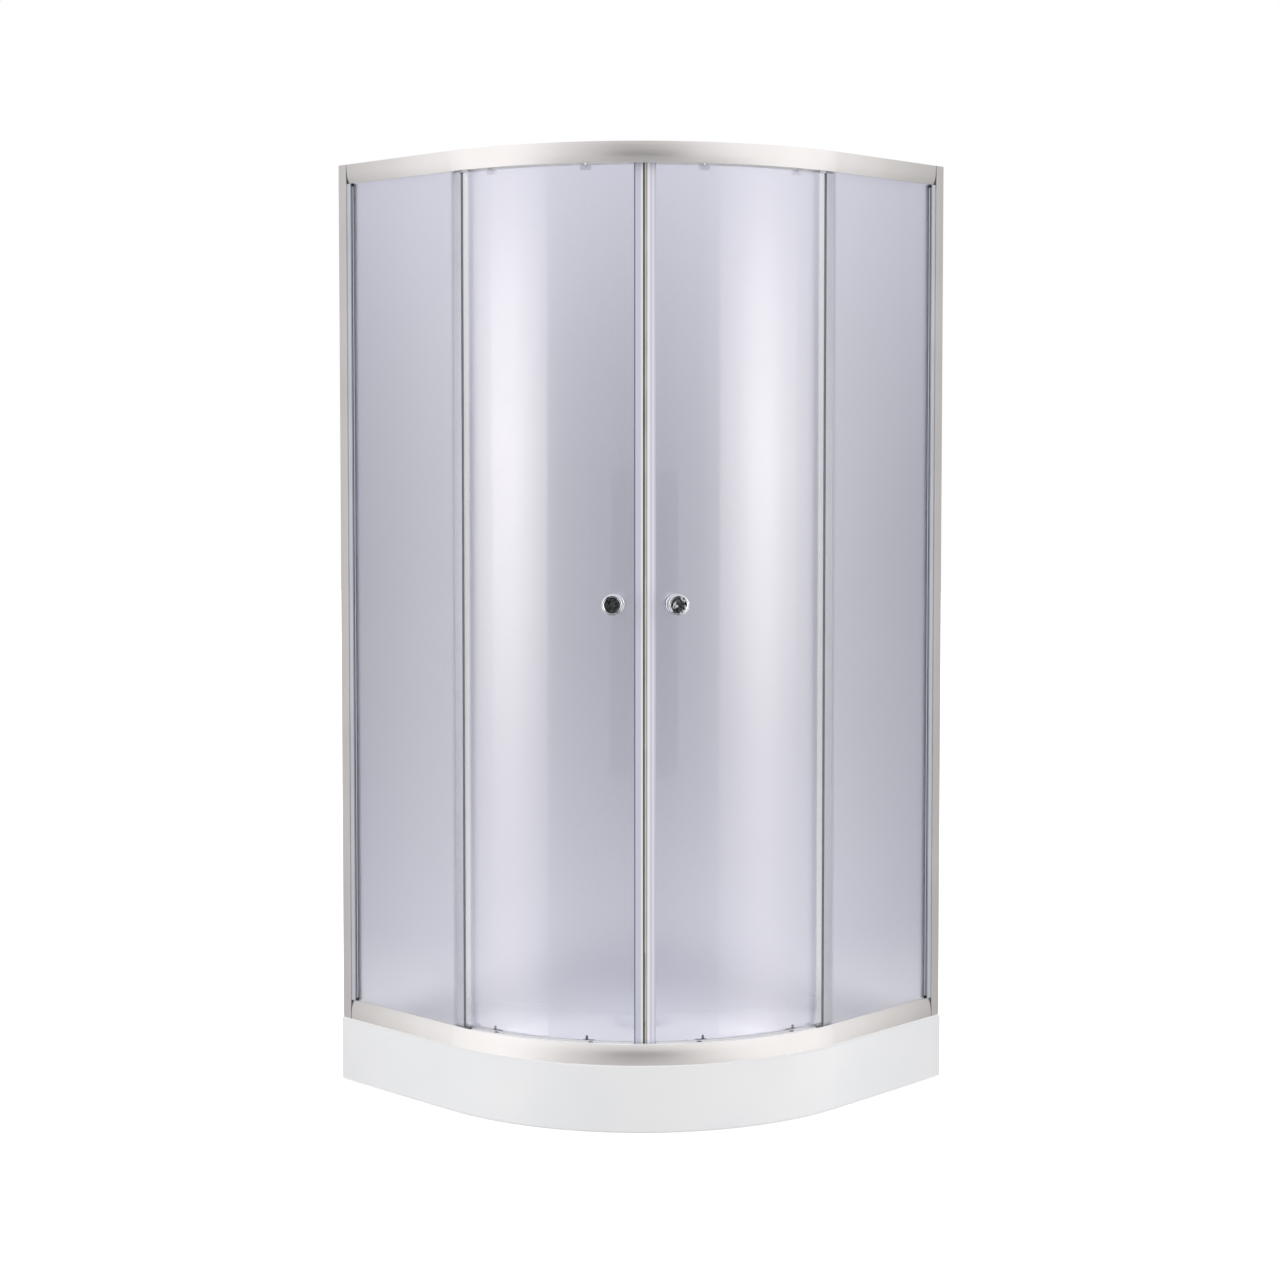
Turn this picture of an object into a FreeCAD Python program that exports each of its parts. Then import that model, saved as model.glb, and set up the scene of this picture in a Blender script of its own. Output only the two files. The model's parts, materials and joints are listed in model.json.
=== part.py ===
import FreeCAD, Part
import math
import os

# Quadrant shower cabin: a low tray in a room corner, a bent frame and two curved sliding doors.
# The origin is the middle of the footprint on the floor. The walls stand at -X and +Y.
# Sections are drawn at polar angle 0 about the centre of the curved front, where X is radial.
# All right-hand pieces are drawn first. The left-hand ones are their mirror images.

V = FreeCAD.Vector
UP = V(0, 0, 1)

# Footprint and heights
SIDE = 900.0
FRONT_R = 550.0
TRAY_H = 133.0
FRAME_H = 1797.0

# Running clearances
RUN_GAP = 0.3
SEAT_GAP = 0.35
AXLE_FIT = 0.1

# Glass panes, and how far they are set behind the rail's outer face
GLASS_T = 5.0
FIXED_SET = 8.4
PANE_GAP = 10.6
FIXED_REACH = 23.5
FIXED_IN_POST = 8.0
DOOR_FRONT_EDGE = 11.0
DOOR_OVERLAP = 37.5
DOOR_EDGE_GAP = 3.0

# Rail extrusion
RAIL_INSET = 4.0
RAIL_H = 39.5
RAIL_WALL = 1.6
FACE_FLAT = 6.0
FACE_FALL = 6.0
SLOT_DEPTH = 16.0
SLOT_CLEAR = 1.4
FIN_T = 1.4
TRACK_IN = 7.8
TRACK_OUT = 7.0
LIP_T = 1.2
LIP_H = 2.0
CAP_T = 2.0
TENON_L = 14.0
TENON_CLEAR = 1.0

# Wall profiles, posts and gaskets
CHANNEL_FACE = 24.0
CHANNEL_DEPTH = 24.0
CHANNEL_WALL = 1.6
POST_SHOWS = 12.0
POST_IN = 14.0
POST_GAP = 0.4
POST_WALL = 1.6
GASKET_SHOWS = 2.4
GASKET_BEAD = 2.6
GASKET_LEG = 1.2
GASKET_PAD_H = 5.0
GASKET_PAD = 1.6
WALL_HOLE_R = 3.0
WALL_HOLE_END = 170.0

# Fixed edge seal
SEAL_T = 1.2
SEAL_LEG = 20.0
SEAL_LIP_REACH = 15.0
SEAL_LIP_DROP = 1.0
GLUE_GAP = 0.2

# Meeting edge of the doors
MAGNET_HALF_GAP = 0.3
MAGNET_W = 4.0
MAGNET_T = 4.6
SEAL_END = 21.0
REAR_LEG = 10.0
REAR_FIN = 4.4

# Knobs, one on each side of the glass
KNOB_ANGLE = 6.6
KNOB_RISE = 904.0
KNOB_R = 20.0
KNOB_OUT = 42.0
KNOB_BASE_R = 20.8
KNOB_BASE_T = 10.0
KNOB_GROOVE_R = 18.0
KNOB_GROOVE_W = 3.0
KNOB_ROUND = 1.6
KNOB_DISH_R = 17.0
KNOB_DISH = 0.8
STUD_R = 4.0
STUD_IN = 16.0
STUD_FIT = 0.2
GLASS_HOLE_R = 6.0

# Rollers
FRONT_ANGLE = 12.9
REAR_ANGLE = 35.6
WHEEL_D = 17.0
WHEEL_W = 5.0
WHEEL_CROWN = 0.5
WHEEL_SET = 16.0
AXLE_R = 2.0
AXLE_HEAD_R = 3.4
AXLE_HEAD_T = 1.2
SHOULDER_R = 3.2
PLATE_T = 2.0
PLATE_W = 22.0
PLATE_ROUND = 2.0
NECK_W = 8.0
SCREW_EDGE = 12.0
LOW_SCREW_EDGE = 7.5
SCREW_R = 2.5
SCREW_HOLE_R = 3.25
SCREW_HEAD_R = 5.0
SCREW_HEAD_T = 2.4
DISC_R = 6.5
DISC_T = 3.2
DISC_ROUND = 2.2
SCREW_OFFSET = 10.0

# Release mechanism of the bottom rollers, with heights from the bottom rail's upper edge
RELEASE_TRAVEL = 3.2
PIN_R = 3.0
PIN_TIP_R = 1.9
PIN_RISE = 9.7
PIN_ROUND = 1.2
PIN_SET = 5.7
HOUSING_RISE = 1.5
HOUSING_DEPTH = 10.0
HOUSING_WALL = 1.6
HOUSING_MARGIN = 6.0
HOUSING_TAIL = 4.5
HOUSING_ROUND = 4.5
HOUSING_ROOF = 2.5
SLIDER_H = 3.0
SPRING_R = 1.9
SPRING_WIRE = 0.5
SPRING_TURNS = 4
SPRING_GAP = 0.12
SPRING_SAMPLES = 6
GUIDE_R = 1.1
GUIDE_L = 2.6

# Door stops, glass clips, slot covers and frame screws
DOOR_TRAVEL = 203.2
STOP_GAP = 1.7
STOP_L = 12.0
STOP_H = 10.0
CLIP_L = 18.0
CLIP_TOE = 6.0
CLIP_SET = 0.5
CLIP_FOOT = 1.6
CLIP_SHOWS = 4.0
STRIP_T = 1.5
STRIP_LEG = 3.0
STRIP_LIP = 2.4
FRAME_SCREW_R = 2.0
FRAME_SCREW_HEAD_R = 4.0
FRAME_SCREW_HEAD_T = 2.2
FRAME_SCREW_BEVEL = 1.1
FRAME_SCREW_END = 240.0

# Tray
SHELL_T = 5.0
APRON_GAP = 3.0
RIM_ROUND = 4.0
RIM_FRONT = 72.0
RIM_BACK = 46.0
FLANGE_H = 30.0
BASIN_DEPTH = 49.0
BASIN_CORNER = 60.0
BASIN_ROUND = 28.0
FLOOR_T = 8.0
FLOOR_FALL = 4.0
FALL_R = 230.0

# Waste, measured from the floor of the basin downwards
WASTE_X = -130.0
WASTE_Y = 130.0
WASTE_HOLE_R = 45.0
BOSS_R = 66.0
BOSS_H = 6.0
FLANGE_R = 56.0
FLANGE_T = 2.0
SLEEVE_T = 3.0
SLEEVE_FIT = 0.5
SLEEVE_L = 16.0
RECESS = 3.0
COVER_R = 54.0
COVER_GAP = 2.5
COVER_T = 5.0
COVER_ROUND = 3.5
COVER_HUB_R = 10.0
WASTE_SEAL_T = 3.0
TRAP_R = 47.0
TRAP_ROUND = 9.0
TRAP_RIM_R = 60.0
TRAP_WALL = 2.5
TRAP_RIM_T = 4.0
TRAP_BOTTOM = 8.0
SPIGOT_R = 20.0
SPIGOT_L = 90.0
SPIGOT_COLLAR_R = 24.0
SPIGOT_COLLAR_L = 8.0
SPIGOT_RISE = 20.0

# Support frame and feet
TUBE = 20.0
TUBE_WALL = 1.5
TUBE_EDGE = 130.0
TUBE_END = 42.0
SPUR_GAP = 78.0
FOOT_R = 22.0
FOOT_H = 12.0
FOOT_EDGE = 4.0
FOOT_NECK_R = 8.0
ROD_R = 5.0
ROD_IN = 12.0
ROD_FIT = 0.3
NUT_R = 8.5
NUT_H = 6.0

# Levels and radii that follow from the sizes above
HALF = SIDE / 2
STRAIGHT = SIDE - FRONT_R
CX = STRAIGHT - HALF
CY = HALF - STRAIGHT
CENTRE = V(CX, CY, 0)
SEAM = -45.0
TOTAL_H = TRAY_H + FRAME_H

RAIL_R = FRONT_R - RAIL_INSET
FACE_DROP = RAIL_H - FACE_FLAT
FACE_R = (FACE_DROP ** 2 + FACE_FALL ** 2) / (2 * FACE_FALL)
FIXED_OUT = RAIL_R - FIXED_SET
FIXED_IN = FIXED_OUT - GLASS_T
DOOR_OUT = FIXED_IN - PANE_GAP
DOOR_IN = DOOR_OUT - GLASS_T
DOOR_MID = (DOOR_OUT + DOOR_IN) / 2
WHEEL_U = DOOR_IN - WHEEL_SET
WHEEL_R = WHEEL_D / 2
TRACK_WALL = WHEEL_U - TRACK_IN
TRACK_LIP = WHEEL_U + TRACK_OUT
TRACK_H = RAIL_WALL + RUN_GAP + RELEASE_TRAVEL + WHEEL_D + RUN_GAP
LEDGE_H = TRACK_H + RAIL_WALL
RAIL_BACK = TRACK_WALL - RAIL_WALL

RAIL_END_Y = HALF - CHANNEL_FACE
BOTTOM_EDGE = TRAY_H + RAIL_H
TOP_EDGE = TOTAL_H - RAIL_H
DOOR_BOTTOM = TRAY_H + LEDGE_H + DOOR_EDGE_GAP
DOOR_TOP = TOTAL_H - LEDGE_H - DOOR_EDGE_GAP
TOP_WHEEL_Z = TOTAL_H - TRACK_H + RUN_GAP + WHEEL_R
BOTTOM_WHEEL_Z = TRAY_H + TRACK_H - RUN_GAP - WHEEL_R
TOP_SCREW_Z = DOOR_TOP - SCREW_EDGE
BOTTOM_SCREW_Z = DOOR_BOTTOM + LOW_SCREW_EDGE

PLATE_OUT = DOOR_IN - SEAT_GAP
PLATE_IN = PLATE_OUT - PLATE_T
PIN_U = DOOR_IN - PIN_SET
PIN_TOP = BOTTOM_EDGE + PIN_RISE
HOUSING_TOP = BOTTOM_EDGE + HOUSING_RISE
KNOB_Z = TRAY_H + KNOB_RISE
ROLLER_ANGLES = {"front": FRONT_ANGLE, "rear": REAR_ANGLE}
STOP_Y = CY + DOOR_TRAVEL - math.radians(-SEAM - REAR_ANGLE) * WHEEL_U + WHEEL_R + STOP_GAP
FIXED_EDGE_Y = CY - FIXED_REACH
POST_FRONT_Y = RAIL_END_Y - POST_SHOWS
BASIN_FLOOR = TRAY_H - BASIN_DEPTH
UNDERSIDE = BASIN_FLOOR - FLOOR_T
WASTE_FLOOR = BASIN_FLOOR - FLOOR_FALL
SAME = 0.01


def mirrored(shape):
    """The left-hand twin of a right-hand shape, across the cabin's diagonal."""
    return shape.mirror(CENTRE, V(1, 1, 0))


def pair(shape):
    return [shape, mirrored(shape)]


def at(u, y, z):
    """A point at polar angle 0: u from the front's centre, y along the tangent."""
    return V(CX + u, CY + y, z)


def box(u0, u1, y0, y1, z0, z1):
    return Part.makeBox(u1 - u0, y1 - y0, z1 - z0, at(u0, y0, z0))


def rod(r, u0, u1, y, z):
    """A round bar that lies along the radius."""
    return Part.makeCylinder(r, u1 - u0, at(u0, y, z), V(1, 0, 0))


def turned(shape, angle):
    """A copy carried round the front from polar angle 0 to an angle from the seam."""
    copy = shape.copy()
    copy.rotate(CENTRE, UP, SEAM + angle)
    return copy


def arc_angle(length):
    """The angle that an arc length takes on the door."""
    return math.degrees(length / DOOR_MID)


def sector(u0, u1, a0, a1, z0, z1):
    """A ring sector between two angles from the seam."""
    outline = [at(u0, 0, z0), at(u1, 0, z0), at(u1, 0, z1), at(u0, 0, z1), at(u0, 0, z0)]
    solid = Part.Face(Part.makePolygon(outline)).revolve(CENTRE, UP, a1 - a0)
    return turned(solid, a0)


def spun(points, u, y, z, sign=1):
    """A solid of revolution about the radius: points are (distance from u, radius)."""
    outline = [at(u + sign * x, y, z + r) for x, r in points]
    outline.append(outline[0])
    return Part.Face(Part.makePolygon(outline)).revolve(at(u, y, z), V(1, 0, 0), 360)


def lathe(points, x, y):
    """A solid of revolution about a vertical axis: points are (radius, height)."""
    outline = [V(x + r, y, z) for r, z in points]
    outline.append(outline[0])
    return Part.Face(Part.makePolygon(outline)).revolve(V(x, y, 0), UP, 360)


def joined(shapes):
    return shapes[0].fuse(shapes[1:]).removeSplitter()


def edges_where(shape, test):
    """Edges whose two ends and middle all pass a test."""
    found = []
    for edge in shape.Edges:
        middle = edge.valueAt((edge.FirstParameter + edge.LastParameter) / 2)
        points = [vertex.Point for vertex in edge.Vertexes] + [middle]
        if all(test(point) for point in points):
            found.append(edge)
    return found


def near(a, b):
    return abs(a - b) < SAME


def along_radius(edges):
    """The edges that lie along the radius."""
    return [edge for edge in edges if near(abs(edge.tangentAt(edge.FirstParameter).x), 1)]


def save(name, shapes):
    shape = shapes[0] if len(shapes) == 1 else Part.makeCompound(shapes)
    shape.exportStep("parts/" + name + ".step")


def save_pair(name, *shapes):
    save(name + "_right", list(shapes))
    save(name + "_left", [mirrored(shape) for shape in shapes])


# Tray
def plan_wire(front, back, z, corner=0.0):
    """The tray's outline, drawn in from its front edges and from its wall edges."""
    r = FRONT_R - front
    low, high = CY - r, HALF - back
    left, right = back - HALF, CX + r
    middle = CENTRE + V(math.cos(math.radians(SEAM)), math.sin(math.radians(SEAM)), 0) * r
    front_arc = Part.Arc(V(CX, low, z), V(middle.x, middle.y, z), V(right, CY, z)).toShape()
    if not corner:
        rest = [V(right, CY, z), V(right, high, z), V(left, high, z), V(left, low, z), V(CX, low, z)]
        return Part.Wire([front_arc] + [Part.makeLine(a, b) for a, b in zip(rest, rest[1:])])
    edges = [front_arc]
    last = V(right, CY, z)
    bends = [(right, high, -1, -1, 0), (left, high, 1, -1, 90), (left, low, 1, 1, 180)]
    for x, y, sx, sy, start in bends:
        hub = V(x + sx * corner, y + sy * corner, z)
        first, half_way, end = [
            hub + V(math.cos(math.radians(a)), math.sin(math.radians(a)), 0) * corner
            for a in (start, start + 45, start + 90)
        ]
        edges.append(Part.makeLine(last, first))
        edges.append(Part.Arc(first, half_way, end).toShape())
        last = end
    edges.append(Part.makeLine(last, V(CX, low, z)))
    return Part.Wire(edges)


def plan_solid(front, back, z0, z1, corner=0.0):
    return Part.Face(plan_wire(front, back, z0, corner)).extrude(V(0, 0, z1 - z0))


def basin_solid(grow, z0, z1):
    """The basin's hollow, or the outside of its shell, with a rounded foot."""
    solid = plan_solid(RIM_FRONT - grow, RIM_BACK - grow, z0, z1, BASIN_CORNER + grow)
    foot = edges_where(solid, lambda p: near(p.z, z0))
    return solid.makeFillet(BASIN_ROUND + grow, foot)


def on_walls(edge):
    return all(near(v.Point.x, -HALF) or near(v.Point.y, HALF) for v in edge.Vertexes)


def make_tray():
    """A shell with a front apron and low wall edges, a basin with a fall to the waste, and a boss below."""
    block = plan_solid(0, 0, APRON_GAP, TRAY_H)
    rim = [edge for edge in edges_where(block, lambda p: near(p.z, TRAY_H)) if not on_walls(edge)]
    block = block.makeFillet(RIM_ROUND, rim)
    under = TRAY_H - SHELL_T
    open_back = plan_solid(SHELL_T, -SHELL_T, 0, TRAY_H - FLANGE_H)
    hollow = plan_solid(SHELL_T, SHELL_T, 0, under)
    shell = block.cut([open_back, hollow])
    boss = Part.makeCylinder(BOSS_R, BOSS_H + SHELL_T, V(WASTE_X, WASTE_Y, UNDERSIDE - BOSS_H))
    tray = shell.fuse([basin_solid(SHELL_T, UNDERSIDE, under), boss])
    fall = Part.makeCone(WASTE_HOLE_R, FALL_R, FLOOR_FALL, V(WASTE_X, WASTE_Y, WASTE_FLOOR))
    hole = Part.makeCylinder(WASTE_HOLE_R, FLOOR_T + BOSS_H, V(WASTE_X, WASTE_Y, UNDERSIDE - BOSS_H))
    seat = Part.makeCylinder(FLANGE_R + SLEEVE_FIT, BASIN_DEPTH, V(WASTE_X, WASTE_Y, WASTE_FLOOR - RECESS))
    tray = tray.cut([basin_solid(0, BASIN_FLOOR, TRAY_H + SHELL_T), fall, hole, seat]).removeSplitter()
    rim_middle = HALF - RIM_BACK / 2
    mouth = edges_where(tray, lambda p: near(p.z, TRAY_H) and max(abs(p.x), abs(p.y)) < rim_middle)
    return tray.makeFillet(RIM_ROUND, mouth)


def waste_cylinder(r, z0, z1):
    return Part.makeCylinder(r, z1 - z0, V(WASTE_X, WASTE_Y, z0))


def sleeve_radii():
    outer = WASTE_HOLE_R - SLEEVE_FIT
    return outer - SLEEVE_T, outer


def make_waste_flange():
    seat = WASTE_FLOOR - RECESS
    inner, outer = sleeve_radii()
    return lathe([(inner, seat - SLEEVE_L), (outer, seat - SLEEVE_L), (outer, seat), (FLANGE_R, seat),
                  (FLANGE_R - FLANGE_T, seat + FLANGE_T), (inner, seat + FLANGE_T)], WASTE_X, WASTE_Y)


def make_waste_cover():
    """A rounded lid that stands on the flange with three arms from its hub."""
    flange_top = WASTE_FLOOR - RECESS + FLANGE_T
    rim = flange_top + COVER_GAP
    bore = sleeve_radii()[0]
    lid = waste_cylinder(COVER_R, rim, rim + COVER_T)
    lid = lid.makeFillet(COVER_ROUND, edges_where(lid, lambda p: near(p.z, rim + COVER_T)))
    low = flange_top - FLANGE_T
    hub = waste_cylinder(COVER_HUB_R, low, rim)
    leg = Part.makeBox(bore - RUN_GAP, SLEEVE_T, rim - low, V(WASTE_X, WASTE_Y - SLEEVE_T / 2, low))
    foot_start = WASTE_X + bore - SLEEVE_T
    foot = Part.makeBox(2 * SLEEVE_T, SLEEVE_T, COVER_GAP, V(foot_start, WASTE_Y - SLEEVE_T / 2, flange_top))
    arm = leg.fuse(foot)
    arms = []
    for turn in (0, 120, 240):
        copy = arm.copy()
        copy.rotate(V(WASTE_X, WASTE_Y, 0), UP, turn)
        arms.append(copy)
    return joined([lid, hub] + arms)


def waste_seal_levels():
    under = UNDERSIDE - BOSS_H
    return under - WASTE_SEAL_T, under


def make_waste_seal():
    low, high = waste_seal_levels()
    return waste_cylinder(TRAP_RIM_R, low, high).cut(waste_cylinder(WASTE_HOLE_R, low, high))


def make_trap():
    """A shallow cup under the tray, with a rim against the seal and a collared spigot towards the wall."""
    top = waste_seal_levels()[0]
    cup = waste_cylinder(TRAP_R, TRAP_BOTTOM, top)
    cup = cup.makeFillet(TRAP_ROUND, edges_where(cup, lambda p: near(p.z, TRAP_BOTTOM)))
    rim = waste_cylinder(TRAP_RIM_R, top - TRAP_RIM_T, top)
    inside = TRAP_BOTTOM + TRAP_WALL
    hollow = waste_cylinder(TRAP_R - TRAP_WALL, inside, top)
    hollow = hollow.makeFillet(TRAP_ROUND - TRAP_WALL, edges_where(hollow, lambda p: near(p.z, inside)))
    mouth = V(WASTE_X, WASTE_Y, TRAP_BOTTOM + SPIGOT_RISE)
    spigot = Part.makeCylinder(SPIGOT_R, TRAP_R + SPIGOT_L, mouth, V(-1, 0, 0))
    collar = Part.makeCylinder(SPIGOT_COLLAR_R, TRAP_R + SPIGOT_COLLAR_L, mouth, V(-1, 0, 0))
    pipe = Part.makeCylinder(SPIGOT_R - TRAP_WALL, TRAP_R + SPIGOT_L, mouth, V(-1, 0, 0))
    sleeve = waste_cylinder(WASTE_HOLE_R, top - TRAP_RIM_T, top)
    return joined([cup, rim, collar, spigot]).cut([hollow, pipe, sleeve])


def tube_between(start, end):
    """A square tube under the basin, on the line between two plan points."""
    run = end - start
    level = UNDERSIDE - TUBE
    body = Part.makeBox(run.Length, TUBE, TUBE, V(0, -TUBE / 2, level))
    inside = TUBE - 2 * TUBE_WALL
    bore = Part.makeBox(run.Length, inside, inside, V(0, -inside / 2, level + TUBE_WALL))
    angle = math.degrees(math.atan2(run.y, run.x))
    for solid in (body, bore):
        solid.rotate(V(0, 0, 0), UP, angle)
        solid.translate(start)
    return body, bore


def make_support():
    """A welded frame of square tubes along both walls and across the diagonal, with five feet."""
    side = TUBE_EDGE - HALF
    far = HALF - TUBE_END
    corner, left, right = V(side, -side, 0), V(side, -far, 0), V(far, -side, 0)
    brace_left, brace_right = V(side, side, 0), V(-side, -side, 0)
    middle = (brace_left + brace_right) * 0.5
    spur_end = CENTRE + V(1, -1, 0) * ((FRONT_R - SPUR_GAP) / math.sqrt(2))
    runs = [(left, V(side, far, 0)), (corner, right), (brace_left, brace_right), (middle, spur_end)]
    tubes = [tube_between(a, b) for a, b in runs]
    feet_at = [left + V(0, TUBE, 0), corner, right - V(TUBE, 0, 0), middle, spur_end - V(1, -1, 0) * TUBE]
    level = UNDERSIDE - TUBE
    frame = joined([body for body, bore in tubes]).cut([bore for body, bore in tubes])
    rod_top = level + ROD_IN
    holes = [Part.makeCylinder(ROD_R + ROD_FIT, ROD_IN + ROD_FIT, p + V(0, 0, level)) for p in feet_at]
    frame = frame.cut(holes)
    profile = [(0, 0), (FOOT_R, 0), (FOOT_R, FOOT_EDGE), (FOOT_NECK_R, FOOT_H), (ROD_R, FOOT_H),
               (ROD_R, level - NUT_H), (NUT_R, level - NUT_H), (NUT_R, level), (ROD_R, level),
               (ROD_R, rod_top), (0, rod_top)]
    return frame, [lathe(profile, p.x, p.y) for p in feet_at]


# Frame
def on_face(depth, skin=0.0):
    """How far out the rail's rounded face lies at a depth from its edge, or a skin's thickness behind it."""
    return RAIL_R - FACE_R + math.sqrt((FACE_R - skin) ** 2 - (depth - FACE_FLAT) ** 2)


def rail_face(edge, sign):
    """The rail's section at polar angle 0, from its outer edge towards the glass."""
    def pt(u, h):
        return at(u, 0, edge + sign * h)

    half_way = FACE_FLAT + FACE_DROP / 2
    lip_depth = RAIL_H - RAIL_WALL
    fin_out, fin_in = FIXED_OUT + SLOT_CLEAR, FIXED_IN - SLOT_CLEAR
    skin_out, skin_in = pt(on_face(RAIL_H), RAIL_H), pt(on_face(lip_depth, RAIL_WALL), lip_depth)
    skin_root = pt(RAIL_R - RAIL_WALL, FACE_FLAT)
    outer = Part.Arc(pt(RAIL_R, FACE_FLAT), pt(on_face(half_way), half_way), skin_out)
    inner = Part.Arc(skin_in, pt(on_face(half_way, RAIL_WALL), half_way), skin_root)
    lip = [skin_out, pt(fin_out, RAIL_H), pt(fin_out, lip_depth), skin_in]
    rest = [skin_root, pt(RAIL_R - RAIL_WALL, RAIL_WALL)]
    for low, high in ((fin_out + FIN_T, fin_out), (fin_in, fin_in - FIN_T)):
        rest += [pt(low, RAIL_WALL), pt(low, SLOT_DEPTH), pt(high, SLOT_DEPTH), pt(high, RAIL_WALL)]
    rest += [pt(TRACK_WALL, RAIL_WALL), pt(TRACK_WALL, TRACK_H), pt(TRACK_LIP, TRACK_H),
             pt(TRACK_LIP, TRACK_H - LIP_H), pt(TRACK_LIP + LIP_T, TRACK_H - LIP_H),
             pt(TRACK_LIP + LIP_T, LEDGE_H), pt(RAIL_BACK, LEDGE_H), pt(RAIL_BACK, 0), pt(RAIL_R, 0),
             pt(RAIL_R, FACE_FLAT)]
    edges = [outer.toShape()] + Part.makePolygon(lip).Edges + [inner.toShape()] + Part.makePolygon(rest).Edges
    return Part.Face(Part.Wire(edges))


def make_rail(edge, sign):
    face = rail_face(edge, sign)
    straight = face.extrude(V(0, RAIL_END_Y - CAP_T - CY, 0))
    bend = face.revolve(CENTRE, UP, 2 * SEAM)
    return joined([bend, straight, mirrored(straight)])


def make_end_cap(edge, sign):
    """A plastic cap with the rail's outline, and a tenon that enters the wall profile."""
    def pt(u, h):
        return V(CX + u, RAIL_END_Y - CAP_T, edge + sign * h)

    half_way = FACE_FLAT + FACE_DROP / 2
    root, crest, end = [pt(on_face(depth), depth) for depth in (FACE_FLAT, half_way, RAIL_H)]
    back = [end, pt(FIXED_IN, RAIL_H), pt(TRACK_LIP, LEDGE_H), pt(RAIL_BACK, LEDGE_H), pt(RAIL_BACK, 0),
            pt(RAIL_R, 0), root]
    outline = [Part.Arc(root, crest, end).toShape()] + Part.makePolygon(back).Edges
    plate = Part.Face(Part.Wire(outline)).extrude(V(0, CAP_T, 0))
    low, high = sorted((edge + sign * RAIL_WALL, edge + sign * (RAIL_H - RAIL_WALL)))
    u0 = RAIL_R - CHANNEL_DEPTH + CHANNEL_WALL + TENON_CLEAR
    u1 = RAIL_R - CHANNEL_WALL - TENON_CLEAR
    tenon = box(u0, u1, RAIL_END_Y - CY, RAIL_END_Y - CY + TENON_L, low, high)
    screw = rod(FRAME_SCREW_R + STUD_FIT, u0, u0 + frame_screw_reach(), screw_y(), edge + sign * RAIL_H / 2)
    return joined([plate, tenon]).cut(screw)


def make_wall_profile():
    """A U channel with its back on the wall, open towards the post."""
    back = HALF - CHANNEL_WALL - CY
    front = RAIL_END_Y - CY
    u0, u1 = RAIL_R - CHANNEL_DEPTH, RAIL_R
    channel = box(u0, u1, front, HALF - CY, TRAY_H, TOTAL_H)
    channel = channel.cut(box(u0 + CHANNEL_WALL, u1 - CHANNEL_WALL, front, back, TRAY_H, TOTAL_H))
    middle = (u0 + u1) / 2
    heights = [TRAY_H + WALL_HOLE_END, TRAY_H + FRAME_H / 2, TOTAL_H - WALL_HOLE_END]
    holes = [Part.makeCylinder(WALL_HOLE_R, CHANNEL_WALL, at(middle, back, z), V(0, 1, 0)) for z in heights]
    screw_r = FRAME_SCREW_R + STUD_FIT
    holes += [rod(screw_r, u0, u0 + CHANNEL_WALL, screw_y(), z) for z in frame_screw_levels()]
    return channel.cut(holes)


def screw_y():
    """Frame screws stand in the middle of the post's hidden length."""
    return RAIL_END_Y - CY + POST_IN / 2


def frame_screw_reach():
    return CHANNEL_WALL + POST_GAP + POST_WALL


def frame_screw_levels():
    ends = [TRAY_H + RAIL_H / 2, TOTAL_H - RAIL_H / 2]
    return ends + [TRAY_H + FRAME_SCREW_END, TRAY_H + FRAME_H / 2, TOTAL_H - FRAME_SCREW_END]


def make_post():
    """A closed front with a glazing slot, on two legs that slide in the wall profile."""
    u0 = RAIL_R - CHANNEL_DEPTH + CHANNEL_WALL + POST_GAP
    u1 = RAIL_R - CHANNEL_WALL - POST_GAP
    y0, y1 = POST_FRONT_Y - CY, RAIL_END_Y + POST_IN - CY
    z0, z1 = BOTTOM_EDGE + RUN_GAP, TOP_EDGE - RUN_GAP
    bed = y0 + FIXED_IN_POST + GASKET_LEG + GLUE_GAP
    slot_in, slot_out = FIXED_IN - SLOT_CLEAR, FIXED_OUT + SLOT_CLEAR
    post = box(u0, u1, y0, y1, z0, z1)
    hollow_back = box(u0 + POST_WALL, u1 - POST_WALL, bed + POST_WALL, y1, z0, z1)
    slot = box(slot_in, slot_out, y0, bed, z0, z1)
    side_in = box(u0 + POST_WALL, slot_in - POST_WALL, y0 + POST_WALL, bed, z0, z1)
    side_out = box(slot_out + POST_WALL, u1 - POST_WALL, y0 + POST_WALL, bed, z0, z1)
    levels = [z for z in frame_screw_levels() if z0 < z < z1]
    holes = [rod(FRAME_SCREW_R + STUD_FIT, u0, u0 + POST_WALL, screw_y(), z) for z in levels]
    return post.cut([hollow_back, slot, side_in, side_out] + holes)


def make_gasket():
    """A U strip round the pane's edge, with a bead at the slot's mouth and a pad at each end."""
    y0 = POST_FRONT_Y - CY
    end = y0 + FIXED_IN_POST
    z0, z1 = BOTTOM_EDGE + RUN_GAP, TOP_EDGE - RUN_GAP
    beads = box(FIXED_IN - GASKET_BEAD, FIXED_OUT + GASKET_BEAD, y0 - GASKET_SHOWS, y0, z0, z1)
    pad_in, pad_out = FIXED_IN - GASKET_BEAD - GASKET_PAD, FIXED_OUT + GASKET_BEAD + GASKET_PAD
    tip = y0 - GASKET_SHOWS - GASKET_PAD
    pads = [box(pad_in, pad_out, tip, y0, z, z + GASKET_PAD_H) for z in (z0, z1 - GASKET_PAD_H)]
    legs = box(FIXED_IN - GASKET_LEG, FIXED_OUT + GASKET_LEG, y0, end + GASKET_LEG, z0, z1)
    pane = box(FIXED_IN, FIXED_OUT, tip, end, z0, z1)
    return joined([beads, legs] + pads).cut(pane)


def fixed_levels():
    return TRAY_H + RAIL_WALL + CLIP_FOOT, TOTAL_H - RAIL_WALL - CLIP_FOOT


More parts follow.
